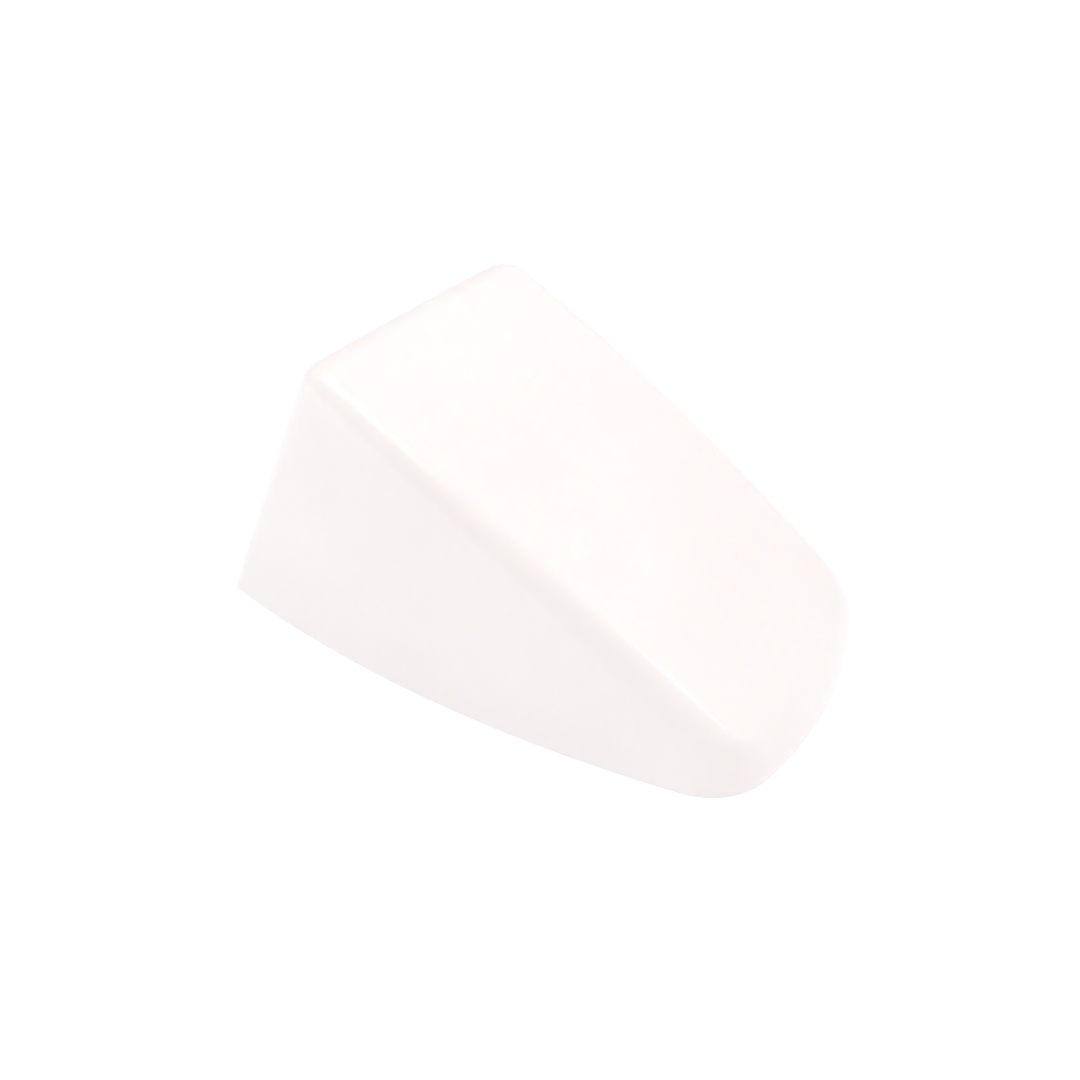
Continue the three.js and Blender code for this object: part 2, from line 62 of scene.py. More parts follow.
# ------------------------------------------------------- sizes, in millimetres, as in the CAD
shell_low, shell_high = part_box("body_shell")
LENGTH = (shell_high.x - shell_low.x) / MM
WIDTH = 64.2
HEIGHT = 50.0
NOSE_HEIGHT = 3.5
REAR_LEAN = math.radians(24.4)
SIDE_DRAFT = math.radians(5.4)
NOSE_FLARE = 0.083
NOSE_DRAFT = math.radians(0.9)
TOP_CROWN = 2.3
CROSS_CROWN = 0.7
# side radius, widest station, nose radius, nose corner, rear corner
FOOT = (232.0, 43.1, 67.4, 12.4, 1.4)
CREST = (413.0, 20.2, 104.0, 8.8, 6.4)
SIDE_BLEND = 3.4
REAR_BLEND = 4.1
NOSE_BLEND = 3.8
NOSE_WALL_SHARE = 0.89
FULLNESS = 0.75
SPINE_SETBACK = 23.0

WALL = 3.4
ROOF = 3.8
SKIRT = 1.9
LENS_WALL = 8.0
RIB = 2.2
NOSE_SOLID = 8.6
GAP = 0.3
PLATE = 4.0
GASKET = 1.0
BOSS_RADIUS = 4.8
BOSS_OVERLAP = 0.6
NOSE_BOSS_SETBACK = 21.0
INSERT_RADIUS = 2.9
INSERT_LENGTH = 6.0
SCREW_RADIUS = 2.0
HEAD_RADIUS = 3.4
HEAD_HEIGHT = 2.1
HEAD_RECESS = 0.4
HEX_FLATS = 2.5

LENS_RECESS = 0.5
LENS_THICK = 2.5
LENS_RIM = 1.0
LENS_MARGIN = 4.2
LENS_SIDE_MARGIN = 1.4
LENS_EAR = 6.0
LENS_EDGE = 2.4
LENS_CORNER = 3.0
LENS_GASKET = 0.9
LENS_SCREW = 1.25
LENS_HEAD = 2.3
LENS_SCREW_LENGTH = 8.5
LENS_BOSS = 3.1
LENS_BOSS_LENGTH = 3.2
SCREW_HOLE_SPACING = 1.2
PRISM_PITCH = 0.8
PRISM_DEPTH = 0.05
POCKET_RIM = 0.35
SINK_RIM = 0.15
LENS_EDGE_RADIUS = 0.3

MIN_CORNER = 2.0
CAVITY_CORNER = 2.0
CAVITY_BLEND = 0.4
BLEND_STEPS = 16
CAVITY_BLEND_STEPS = 3
EDGE_PASSES = 10
SHELL_WALLS = [0, 0.03, 0.2, 0.4, 0.6, 0.8, 0.93]
SHELL_CROWN = [0.03, 0.08, 0.16, 0.27, 0.4, 0.52, 0.64, 0.76, 0.88, 1]
CAVITY_CROWN = [0.35, 0.7, 1]

HEAD_DOME = 1.5
HEAD_DOME_RISE = 1.1
HEAD_EDGE = 0.1
DOME_STEPS = 8
RIM_STEPS = 5
EDGE_STEPS = 4
BASE_THREAD = (0.7, 0.35)  # pitch, depth
LENS_THREAD = (0.6, 0.25)
SLOT_DEPTH = 0.9
SLOT_HALF = 0.3
SLOT_REACH = 0.6  # share of the head's radius

# segments round a turned piece, by how large it is and how closely it is seen
BOSS_ROUND = 32
SMALL_ROUND = 24
LENS_ROUND = 48
HEAD_ROUND = 64
HEX_ROUND = 6

SHELL_SHARP = 35
LENS_SHARP = 20
SCREW_SHARP = 28
MERGE = 1e-8
ON_CENTRE = 1e-6
ON_AXIS = 1e-9

# points along the nose end, nose corner, side, rear corner and back edge of half an outline
FINE = (20, 26, 60, 10, 12)
INNER = (6, 6, 14, 3, 2)
TAN_LEAN = math.tan(REAR_LEAN)
REAR_TOP_X = HEIGHT * TAN_LEAN
LEDGE = PLATE + GAP + GASKET + GAP


# ---------------------------------------------------------------- body surfaces
def top_height(x, y):
    along = (x - REAR_TOP_X) / (LENGTH - REAR_TOP_X)
    across = y / (WIDTH / 2)
    slope = HEIGHT + (NOSE_HEIGHT - HEIGHT) * along
    return slope + 4 * TOP_CROWN * along * (1 - along) - CROSS_CROWN * across * across


def wall_point(x, y, to_nose, z):
    inward = math.tan(SIDE_DRAFT) + NOSE_FLARE * to_nose
    lean = TAN_LEAN * (1 - to_nose) - math.tan(NOSE_DRAFT) * to_nose
    return Vector((x + z * lean, y * (1 - 2 * z * inward / WIDTH), z))


def outline(shape, inset, rear_inset, nose_inset, corner, steps):
    """Counter-clockwise plan points: (x, y, normal x, normal y, share of the way to the nose)."""
    side_radius, widest_at, nose_radius, nose_corner, rear_corner = shape
    if corner is not None:
        rear_corner = corner
    side_x, side_y = widest_at, WIDTH / 2 - side_radius
    side = side_radius - inset
    end = nose_radius - nose_inset
    bend = max(nose_corner - inset, MIN_CORNER)
    end_x = LENGTH - nose_radius
    apart_x, apart_y = end_x - side_x, -side_y
    apart = math.hypot(apart_x, apart_y)
    on_line = ((side - bend) ** 2 - (end - bend) ** 2 + apart ** 2) / (2 * apart)
    off_line = math.sqrt((side - bend) ** 2 - on_line ** 2)
    bend_x = side_x + (apart_x * on_line + apart_y * off_line) / apart
    bend_y = side_y + (apart_y * on_line - apart_x * off_line) / apart
    back_x = rear_inset + rear_corner
    back_y = side_y + math.sqrt((side - rear_corner) ** 2 - (back_x - side_x) ** 2)
    end_angle = math.atan2(bend_y, bend_x - end_x)
    side_angle = math.atan2(bend_y - side_y, bend_x - side_x)
    back_angle = math.atan2(back_y - side_y, back_x - side_x)
    arcs = [
        (end_x, 0, end, 0, end_angle, steps[0]),
        (bend_x, bend_y, bend, end_angle, side_angle, steps[1]),
        (side_x, side_y, side, side_angle, back_angle, steps[2]),
        (back_x, back_y, rear_corner, back_angle, math.pi, steps[3]),
    ]
    half = []
    for cx, cy, radius, start, stop, count in arcs:
        for i in range(count):
            angle = start + (stop - start) * i / count
            nx, ny = math.cos(angle), math.sin(angle)
            half.append((cx + radius * nx, cy + radius * ny, nx, ny))
    for i in range(steps[4] + 1):
        half.append((rear_inset, back_y * (1 - i / steps[4]), -1, 0))
    ring = half + [(x, -y, nx, -ny) for x, y, nx, ny in reversed(half[1:-1])]
    span = LENGTH - nose_inset - rear_inset
    return [(x, y, nx, ny, (x - rear_inset) / span) for x, y, nx, ny in ring]


def wall_columns(inset, rear_inset, nose_inset, drop, corner, steps):
    """For each outline point, the wall's foot on the road, its upper edge, and the plan normal."""
    foot = outline(FOOT, inset, rear_inset, nose_inset, corner, steps)
    crest = outline(CREST, inset, rear_inset, nose_inset, corner, steps)
    columns = []
    for (x, y, nx, ny, share), (fx, fy, _, _, fshare) in zip(crest, foot):
        edge = wall_point(x, y, share, top_height(x, y) - drop)
        for _ in range(EDGE_PASSES):
            edge = wall_point(x, y, share, top_height(edge.x, edge.y) - drop)
        columns.append((wall_point(fx, fy, fshare, 0), edge, nx, ny))
    return columns


def wall_ring(columns, z):
    return [base + (edge - base) * (z / edge.z) for base, edge, _, _ in columns]


def half_width(x, z, inset):
    ring = wall_ring(wall_columns(inset, inset, inset, 0, None, FINE), z)
    index = next(i for i, point in enumerate(ring) if point.x < x)
    ahead, behind = ring[index - 1], ring[index]
    return behind.y + (ahead.y - behind.y) * (x - behind.x) / (ahead.x - behind.x)


def smooth(value):
    t = min(max(value, 0), 1)
    return t * t * (3 - 2 * t)


def wedge(
    name, inset, rear_inset, nose_inset, drop, corner, scale, blend_steps, walls, crown, steps,
):
    """The closed wedge: walls, blend and crowned top. walls and crown are shares along each."""

    def surface(x, y):
        return top_height(x, y) - drop

    columns = []
    for base, edge, nx, ny in wall_columns(inset, rear_inset, nose_inset, drop, corner, steps):
        nose, rear = smooth(nx), smooth(-nx)
        plain = 1 - nose - rear
        rise = (base - edge).length
        on_top = scale * (SIDE_BLEND * plain + NOSE_BLEND * nose + REAR_BLEND * rear)
        most = NOSE_WALL_SHARE * rise
        on_wall = SIDE_BLEND * plain * scale + most * nose + REAR_BLEND * rear * scale
        low = edge.lerp(base, min(on_wall, most) / rise)
        hx, hy = edge.x - nx * on_top, edge.y - ny * on_top
        high = Vector((hx, hy, surface(hx, hy)))
        column = [base.lerp(low, s) for s in walls] + [low]
        for i in range(1, blend_steps):
            t = i / blend_steps
            a, b, c = (1 - t) ** 2, 2 * FULLNESS * t * (1 - t), t ** 2
            column.append((low * a + edge * b + high * c) / (a + b + c))
        column.append(high)
        spine = min(max(hx, REAR_TOP_X + SPINE_SETBACK), LENGTH - SPINE_SETBACK)
        for s in crown:
            px, py = hx + (spine - hx) * s, hy * (1 - s)
            column.append(Vector((px, py, surface(px, py))))
        columns.append(column)
    rings = [[column[i] for column in columns] for i in range(len(columns[0]))]
    return loft(name, rings)


def loft(name, rings):
    """Quads between rings, ends filled; a last ring on the centre line closes itself."""
    mesh = bpy.data.meshes.new(name)
    bm = bmesh.new()
    rows = []
    for ring in rings:
        places = [((p.x + ORIGIN_SHIFT) * MM, p.y * MM, p.z * MM) for p in ring]
        rows.append([bm.verts.new(place) for place in places])
    count = len(rows[0])
    for low, high in zip(rows, rows[1:]):
        for i in range(count):
            j = (i + 1) % count
            bm.faces.new((low[i], low[j], high[j], high[i]))
    bm.faces.new(list(reversed(rows[0])))
    if max(abs(p.y) for p in rings[-1]) > ON_CENTRE:
        bm.faces.new(rows[-1])
    bmesh.ops.remove_doubles(bm, verts=bm.verts, dist=MERGE)
    bmesh.ops.dissolve_degenerate(bm, edges=bm.edges, dist=MERGE)
    bmesh.ops.recalc_face_normals(bm, faces=bm.faces)
    bm.to_mesh(mesh)
    bm.free()
    return link(name, mesh)


def link(name, mesh):
    made = bpy.data.objects.new(name, mesh)
    bpy.context.scene.collection.objects.link(made)
    return made


def slab(name, inset, rear_inset, nose_inset, low, high, steps):
    columns = wall_columns(inset, rear_inset, nose_inset, 0, None, steps)
    return loft(name, [wall_ring(columns, z) for z in (low, high)])


def turned(name, profile, segments):
    """A closed solid of revolution about z; the profile's ends lie on the axis."""
    mesh = bpy.data.meshes.new(name)
    bm = bmesh.new()
    rows = []
    for radius, z in profile:
        if radius < ON_AXIS:
            rows.append([bm.verts.new((0, 0, z * MM))])
            continue
        row = []
        for i in range(segments):
            angle = 2 * math.pi * i / segments
            x, y = radius * math.cos(angle), radius * math.sin(angle)
            row.append(bm.verts.new((x * MM, y * MM, z * MM)))
        rows.append(row)
    for low, high in zip(rows, rows[1:]):
        for i in range(segments):
            j = (i + 1) % segments
            corners = [
                low[i % len(low)], low[j % len(low)],
                high[j % len(high)], high[i % len(high)],
            ]
            kept = [v for k, v in enumerate(corners) if v not in corners[:k]]
            if len(kept) > 2:
                bm.faces.new(kept)
    bmesh.ops.recalc_face_normals(bm, faces=bm.faces)
    bm.to_mesh(mesh)
    bm.free()
    return link(name, mesh)


def block(name, x0, x1, y0, y1, z0, z1):
    mesh = bpy.data.meshes.new(name)
    bm = bmesh.new()
    bmesh.ops.create_cube(bm, size=MM)
    for v in bm.verts:
        v.co.x = (x0 if v.co.x < 0 else x1) * MM
        v.co.y = (y0 if v.co.y < 0 else y1) * MM
        v.co.z = (z0 if v.co.z < 0 else z1) * MM
    bm.to_mesh(mesh)
    bm.free()
    return link(name, mesh)


def rounded_plate(name, levels, steps=10):
    """Closed plate from levels of (half x, half y, corner radius, z)."""
    mesh = bpy.data.meshes.new(name)
    bm = bmesh.new()
    rows = []
    for half_x, half_y, radius, z in levels:
        row = []
        for quarter in range(4):
            sx = (1, -1, -1, 1)[quarter]
            sy = (1, 1, -1, -1)[quarter]
            for i in range(steps + 1):
                angle = (quarter + i / steps) * math.pi / 2
                x = sx * (half_x - radius) + radius * math.cos(angle)
                y = sy * (half_y - radius) + radius * math.sin(angle)
                row.append(bm.verts.new((x * MM, y * MM, z * MM)))
        rows.append(row)
    count = len(rows[0])
    for low, high in zip(rows, rows[1:]):
        for i in range(count):
            j = (i + 1) % count
            bm.faces.new((low[i], low[j], high[j], high[i]))
    bm.faces.new(list(reversed(rows[0])))
    bm.faces.new(rows[-1])
    bmesh.ops.recalc_face_normals(bm, faces=bm.faces)
    bm.to_mesh(mesh)
    bm.free()
    return link(name, mesh)


def moved(made, matrix):
    made.data.transform(matrix)
    return made


def at(x, y):
    return Matrix.Translation(Vector(((x + ORIGIN_SHIFT) * MM, y * MM, 0)))


def boolean(target, tools, operation="DIFFERENCE"):
    """Combines target with each tool in turn, keeps the result as its mesh, removes the tools."""
    for tool in tools:
        modifier = target.modifiers.new("cut", "BOOLEAN")
        modifier.operation = operation
        modifier.solver = "MANIFOLD"
        modifier.object = tool
    graph = bpy.context.evaluated_depsgraph_get()
    graph.update()
    result = bpy.data.meshes.new_from_object(target.evaluated_get(graph))
    target.modifiers.clear()
    target.data = result
    for tool in tools:
        bpy.data.objects.remove(tool)
    return target


def shade(made, angle):
    made.data.shade_smooth()
    made.data.set_sharp_from_angle(angle=math.radians(angle))


# ---------------------------------------------------------------- rear lens frame
cos_lean, sin_lean = math.cos(REAR_LEAN), math.sin(REAR_LEAN)
lens_bottom = LEDGE / cos_lean + LENS_MARGIN
lens_top = HEIGHT / cos_lean - REAR_BLEND - LENS_MARGIN
LENS_HALF_V = (lens_top - lens_bottom) / 2
lens_centre = (lens_top + lens_bottom) / 2
station = lens_top * sin_lean + CREST[4]
POCKET_HALF_U = half_width(station, lens_top * cos_lean, 0) - WALL - LENS_SIDE_MARGIN
LENS_HALF_U = POCKET_HALF_U - GAP
LENS_FACE = -LENS_RECESS
LENS_BACK = LENS_FACE - LENS_THICK - LENS_RIM
POCKET_DEPTH = LENS_RECESS + LENS_THICK + LENS_RIM + GAP + LENS_GASKET + GAP
LENS_SCREW_TIP = LENS_FACE - LENS_SCREW_LENGTH
screw_u = LENS_HALF_U - LENS_EAR / 2
screw_v = LENS_HALF_V - LENS_EAR
lens_spots = [(side * screw_u, level * screw_v) for side in (1, -1) for level in (1, -1)]

# Local axes: x across the rear wall, y up the leaning wall, z straight out of it.
rear_frame = Matrix((
    (0, sin_lean, -cos_lean, (lens_centre * sin_lean + ORIGIN_SHIFT) * MM),
    (-1, 0, 0, 0),
    (0, cos_lean, sin_lean, lens_centre * cos_lean * MM),
    (0, 0, 0, 1),
))


def local(u, v):
    return rear_frame @ Matrix.Translation(Vector((u * MM, v * MM, 0)))


# ---------------------------------------------------------------- fixing positions
cavity_rear = LENS_WALL / cos_lean
pilot_radius = LENS_SCREW + GAP
pilot_depth = LENS_RECESS + LENS_SCREW_LENGTH + GAP
pilot_reach = (lens_centre - screw_v) * sin_lean + pilot_depth * cos_lean + pilot_radius * sin_lean
rear_boss_x = pilot_reach + SCREW_HOLE_SPACING + GAP + INSERT_RADIUS
nose_boss_x = LENGTH - NOSE_BOSS_SETBACK
middle_boss_x = (rear_boss_x + nose_boss_x) / 2
boss_spots = []
for boss_x in (rear_boss_x, middle_boss_x, nose_boss_x):
    reach = half_width(boss_x, LEDGE, WALL) + BOSS_OVERLAP - BOSS_RADIUS
    boss_spots += [(boss_x, reach), (boss_x, -reach)]

# ---------------------------------------------------------------- body shell
shell = wedge(
    "shell_skin", inset=0, rear_inset=0, nose_inset=0, drop=0, corner=None,
    scale=1, blend_steps=BLEND_STEPS, walls=SHELL_WALLS, crown=SHELL_CROWN, steps=FINE,
)
cavity = wedge(
    "cavity", inset=WALL, rear_inset=cavity_rear, nose_inset=WALL + NOSE_SOLID, drop=ROOF,
    corner=CAVITY_CORNER, scale=CAVITY_BLEND, blend_steps=CAVITY_BLEND_STEPS,
    walls=[0], crown=CAVITY_CROWN, steps=INNER,
)
half = RIB / 2
kept = [block("rib", ORIGIN_SHIFT, LENGTH + ORIGIN_SHIFT, -half, half, -1, HEIGHT)]
for rib_x in (middle_boss_x, nose_boss_x):
    rear_side, nose_side = rib_x - half + ORIGIN_SHIFT, rib_x + half + ORIGIN_SHIFT
    kept.append(block("rib", rear_side, nose_side, -WIDTH / 2, WIDTH / 2, -1, HEIGHT))
boss_profile = [(0, -1), (BOSS_RADIUS, -1), (BOSS_RADIUS, HEIGHT), (0, HEIGHT)]
for x, y in boss_spots:
    boss = turned("boss", boss_profile, BOSS_ROUND)
    kept.append(moved(boss, at(x, y)))
for u, v in lens_spots:
    low = -LENS_WALL - LENS_BOSS_LENGTH
    boss = turned("boss", [(0, low), (LENS_BOSS, low), (LENS_BOSS, 0), (0, 0)], SMALL_ROUND)
    kept.append(moved(boss, local(u, v)))
boolean(cavity, kept)

cuts = [cavity]
cuts.append(slab("recess", SKIRT, SKIRT, SKIRT + NOSE_SOLID, -1, LEDGE, INNER))
hole_top = LEDGE + GAP + INSERT_LENGTH + GAP
hole_r = INSERT_RADIUS + GAP
for x, y in boss_spots:
    hole = turned("hole", [(0, 0), (hole_r, 0), (hole_r, hole_top), (0, hole_top)], BOSS_ROUND)
    cuts.append(moved(hole, at(x, y)))
pocket_v = LENS_HALF_V + GAP
pocket_r = LENS_CORNER + GAP
levels = [(POCKET_HALF_U, pocket_v, pocket_r, -POCKET_DEPTH)]
for i in range(RIM_STEPS + 1):
    angle = math.pi / 2 * i / RIM_STEPS
    out = POCKET_RIM * (1 - math.cos(angle))
    depth = -POCKET_RIM + POCKET_RIM * math.sin(angle)
    levels.append((POCKET_HALF_U + out, pocket_v + out, pocket_r + out, depth))
out = POCKET_RIM
levels.append((POCKET_HALF_U + out, pocket_v + out, pocket_r + out, 1))
cuts.append(moved(rounded_plate("pocket", levels, 12), rear_frame))
for u, v in lens_spots:
    ends = [(0, -pilot_depth), (pilot_radius, -pilot_depth), (pilot_radius, 0), (0, 0)]
    pilot = turned("pilot", ends, SMALL_ROUND)
    cuts.append(moved(pilot, local(u, v)))
boolean(shell, cuts)
shade(shell, SHELL_SHARP)
shell.name = "moulded_shell"


# ---------------------------------------------------------------- lens with cube-corner prisms
def prism_cutter():
    """A block faced with cube corners: a triangular lattice with heights 0, 1, 2 in turn."""
    pitch = PRISM_PITCH
    step = pitch / math.sqrt(2)
    half_u = LENS_HALF_U - LENS_EAR
    half_v = LENS_HALF_V - LENS_EDGE
    rows = int(2 * half_v / (pitch * math.sqrt(3) / 2)) + 5
    columns = int(2 * half_u / pitch) + 6
    mesh = bpy.data.meshes.new("prisms")
    bm = bmesh.new()
    top = LENS_BACK + PRISM_DEPTH
    grid = []
    for j in range(rows):
        line = []
        for i in range(columns):
            x = (i + (j % 2) / 2 - columns / 2) * pitch
            y = (j - rows / 2) * pitch * math.sqrt(3) / 2
            # column index along a lattice direction, so that neighbours always differ
            skew = i - (j // 2)
            height = (skew + 2 * j) % 3
            line.append(bm.verts.new((x * MM, y * MM, (top + height * step) * MM)))
        grid.append(line)
    for j in range(rows - 1):
        for i in range(columns - 1):
            a, b = grid[j][i], grid[j][i + 1]
            c, d = grid[j + 1][i], grid[j + 1][i + 1]
            if j % 2:
                bm.faces.new((a, b, d))
                bm.faces.new((a, d, c))
            else:
                bm.faces.new((a, b, c))
                bm.faces.new((b, d, c))
    edges = [e for e in bm.edges if len(e.link_faces) == 1]
    wall = bmesh.ops.extrude_edge_only(bm, edges=edges)["geom"]
    low = [v for v in wall if isinstance(v, bmesh.types.BMVert)]
    for v in low:
        v.co.z = (LENS_BACK - 2) * MM
    loop = [e for e in bm.edges if len(e.link_faces) == 1]
    bmesh.ops.holes_fill(bm, edges=loop)
    bmesh.ops.recalc_face_normals(bm, faces=bm.faces)
    bm.to_mesh(mesh)
    bm.free()
    cutter = link("prisms", mesh)
    low, high = LENS_BACK - 1, LENS_BACK + 2
    frame_block = block("prism_area", -half_u, half_u, -half_v, half_v, low, high)
    return boolean(cutter, [frame_block], "INTERSECT")


lens_levels = [(LENS_HALF_U, LENS_HALF_V, LENS_CORNER, LENS_BACK)]
for i in range(EDGE_STEPS + 1):
    angle = math.pi / 2 * i / EDGE_STEPS
    inward = LENS_EDGE_RADIUS * (1 - math.cos(angle))
    z = LENS_FACE - LENS_EDGE_RADIUS + LENS_EDGE_RADIUS * math.sin(angle)
    lens_levels.append((LENS_HALF_U - inward, LENS_HALF_V - inward, LENS_CORNER - inward, z))
lens = rounded_plate("clear_lens", lens_levels, 14)
sunk = LENS_HEAD + GAP
cone = LENS_FACE - GAP - (LENS_HEAD - LENS_SCREW)
lens_cuts = [prism_cutter()]
sink_profile = [
    (0, 1), (sunk + SINK_RIM, 1), (sunk + SINK_RIM, LENS_FACE), (sunk, LENS_FACE - SINK_RIM),
    (sunk, LENS_FACE - GAP), (pilot_radius, cone), (pilot_radius, LENS_BACK - 1),
    (0, LENS_BACK - 1),
]
for u, v in lens_spots:
    sink = turned("sink", sink_profile, LENS_ROUND)
    lens_cuts.append(moved(sink, Matrix.Translation(Vector((u * MM, v * MM, 0)))))
boolean(lens, lens_cuts)
moved(lens, rear_frame)
shade(lens, LENS_SHARP)


# ---------------------------------------------------------------- screws
def threaded(radius, start, stop, pitch, depth):
    """Profile points of a thread, drawn as plain rings, from start to stop."""
    points = []
    turns = int(abs(stop - start) / pitch)
    sign = 1 if stop > start else -1
    for i in range(turns):
        z = start + sign * i * pitch
        points += [(radius, z + sign * pitch * 0.1), (radius - depth, z + sign * pitch * 0.6)]
    return points


head_top = HEAD_RECESS + HEAD_HEIGHT
screw_tip = LEDGE + GAP + INSERT_LENGTH
base_profile = [(0, HEAD_RECESS)]
for i in range(DOME_STEPS + 1):
    angle = math.pi / 2 * i / DOME_STEPS
    radius = HEAD_RADIUS - HEAD_DOME + HEAD_DOME * math.sin(angle)
    base_profile.append((radius, HEAD_RECESS + HEAD_DOME_RISE * (1 - math.cos(angle))))
base_profile += [
    (HEAD_RADIUS, head_top - HEAD_EDGE), (HEAD_RADIUS - HEAD_EDGE, head_top),
    (SCREW_RADIUS, head_top),
]
base_profile += threaded(SCREW_RADIUS, head_top + 0.6, screw_tip - 0.8, *BASE_THREAD)
base_profile += [(SCREW_RADIUS - 0.8, screw_tip), (0, screw_tip)]
lens_profile = [
    (0, LENS_FACE - GAP), (LENS_HEAD - 0.1, LENS_FACE - GAP), (LENS_HEAD, LENS_FACE - GAP - 0.08),
    (LENS_SCREW, cone - 0.1),
]
lens_profile += threaded(LENS_SCREW, cone - 0.4, LENS_SCREW_TIP + 1, *LENS_THREAD)
lens_profile += [(0.3, LENS_SCREW_TIP), (0, LENS_SCREW_TIP)]

base_screw = turned("base_screw_master", base_profile, HEAD_ROUND)
hex_r = HEX_FLATS / math.sqrt(3)
socket_profile = [(0, -1), (hex_r, -1), (hex_r, head_top - 0.7), (0, head_top - 0.4)]
socket = turned("socket", socket_profile, HEX_ROUND)
boolean(base_screw, [socket])
lens_screw = turned("lens_screw_master", lens_profile, LENS_ROUND)
slots = []
slot_reach = LENS_HEAD * SLOT_REACH
slot_floor = LENS_FACE - GAP - SLOT_DEPTH
for across, along in ((slot_reach, SLOT_HALF), (SLOT_HALF, slot_reach)):
    slots.append(block("slot", -across, across, -along, along, slot_floor, 1))
boolean(lens_screw, slots)
for master in (base_screw, lens_screw):
    shade(master, SCREW_SHARP)

screws = []
for i, (x, y) in enumerate(boss_spots):
    copy = link(f"base_screw_fine_{i + 1}", base_screw.data.copy())
    turn = Matrix.Rotation(math.radians(17 * i), 4, "Z")
    screws.append((moved(copy, at(x, y) @ turn), f"base_screw_{i + 1}"))
for i, (u, v) in enumerate(lens_spots):
    copy = link(f"lens_screw_fine_{i + 1}", lens_screw.data.copy())
    turn = Matrix.Rotation(math.radians(31 * i + 8), 4, "Z")
    screws.append((moved(copy, local(u, v) @ turn), f"lens_screw_{i + 1}"))
bpy.data.objects.remove(base_screw)
bpy.data.objects.remove(lens_screw)


# ---------------------------------------------------------------- materials
def material(name):
    made = bpy.data.materials.new(name)
    made.use_nodes = True
    tree = made.node_tree
    shader = tree.nodes["Principled BSDF"]
    return made, tree, shader


def add(tree, kind, **values):
    node = tree.nodes.new(kind)
    for key, value in values.items():
        node.inputs[key].default_value = value
    return node


def noise(tree, scale, detail=4.0, roughness=0.55):
    coords = add(tree, "ShaderNodeTexCoord")
    node = add(tree, "ShaderNodeTexNoise", Scale=scale, Detail=detail, Roughness=roughness)
    tree.links.new(coords.outputs["Object"], node.inputs["Vector"])
    return node


def ramp(tree, source, low, high, dark, light):
    node = add(tree, "ShaderNodeValToRGB")
    node.color_ramp.elements[0].position = low
    node.color_ramp.elements[0].color = (*dark, 1)
    node.color_ramp.elements[1].position = high
    node.color_ramp.elements[1].color = (*light, 1)
    tree.links.new(source, node.inputs["Fac"])
    return node.outputs["Color"]


def spread(tree, source, low, high):
    node = add(tree, "ShaderNodeMapRange")
    node.inputs["To Min"].default_value = low
    node.inputs["To Max"].default_value = high
    tree.links.new(source, node.inputs["Value"])
    return node.outputs["Result"]


def bump(tree, shader, source, strength, distance, before=None):
    node = add(tree, "ShaderNodeBump", Strength=strength, Distance=distance)
    tree.links.new(source, node.inputs["Height"])
    if before is not None:
        tree.links.new(before.outputs["Normal"], node.inputs["Normal"])
    tree.links.new(node.outputs["Normal"], shader.inputs["Normal"])
    return node


def shell_material():
    made, tree, shader = material("shell_asa")
    mottle = noise(tree, 38, 5)
    dark, light = (0.905, 0.87, 0.86), (0.935, 0.9, 0.89)
    colour = ramp(tree, mottle.outputs["Fac"], 0.3, 0.7, dark, light)
    tree.links.new(colour, shader.inputs["Base Color"])
    grain = noise(tree, 900, 3)
    tree.links.new(spread(tree, grain.outputs["Fac"], 0.27, 0.37), shader.inputs["Roughness"])
    shader.inputs["IOR"].default_value = 1.5
    shader.inputs["Subsurface Weight"].default_value = 0.35
    shader.inputs["Subsurface Radius"].default_value = (1.0, 0.62, 0.38)
    shader.inputs["Subsurface Scale"].default_value = 0.0022
    peel = noise(tree, 420, 2)
    first = bump(tree, shader, peel.outputs["Fac"], 0.035, 0.0004)
    bump(tree, shader, grain.outputs["Fac"], 0.02, 0.0002, first)
    return made


def base_material():
    made, tree, shader = material("base_glass_filled")
    speck = noise(tree, 260, 6, 0.7)
    dark, light = (0.2, 0.205, 0.21), (0.34, 0.345, 0.35)
    colour = ramp(tree, speck.outputs["Fac"], 0.35, 0.7, dark, light)
    tree.links.new(colour, shader.inputs["Base Color"])
    tree.links.new(spread(tree, speck.outputs["Fac"], 0.55, 0.75), shader.inputs["Roughness"])
    bump(tree, shader, speck.outputs["Fac"], 0.12, 0.0003)
    return made


def rubber_material():
    made, tree, shader = material("seal_epdm")
    dust = noise(tree, 300, 5)
    dark, light = (0.018, 0.018, 0.018), (0.045, 0.044, 0.042)
    colour = ramp(tree, dust.outputs["Fac"], 0.4, 0.75, dark, light)
    tree.links.new(colour, shader.inputs["Base Color"])
    tree.links.new(spread(tree, dust.outputs["Fac"], 0.75, 0.92), shader.inputs["Roughness"])
    bump(tree, shader, dust.outputs["Fac"], 0.1, 0.0002)
    return made


def metal_material(name, dark, light, low, high, scale):
    made, tree, shader = material(name)
    streak = noise(tree, scale, 6, 0.65)
    colour = ramp(tree, streak.outputs["Fac"], 0.3, 0.7, dark, light)
    tree.links.new(colour, shader.inputs["Base Color"])
    tree.links.new(spread(tree, streak.outputs["Fac"], low, high), shader.inputs["Roughness"])
    shader.inputs["Metallic"].default_value = 1.0
    bump(tree, shader, streak.outputs["Fac"], 0.06, 0.0001)
    return made


def lens_material():
    made, tree, shader = material("lens_acrylic")
    haze = noise(tree, 120, 3)
    dark, light = (0.955, 0.965, 0.97), (0.985, 0.99, 0.99)
    colour = ramp(tree, haze.outputs["Fac"], 0.3, 0.7, dark, light)
    tree.links.new(colour, shader.inputs["Base Color"])
    tree.links.new(spread(tree, haze.outputs["Fac"], 0.015, 0.05), shader.inputs["Roughness"])
    shader.inputs["Transmission Weight"].default_value = 1.0
    shader.inputs["IOR"].default_value = 1.49
    return made


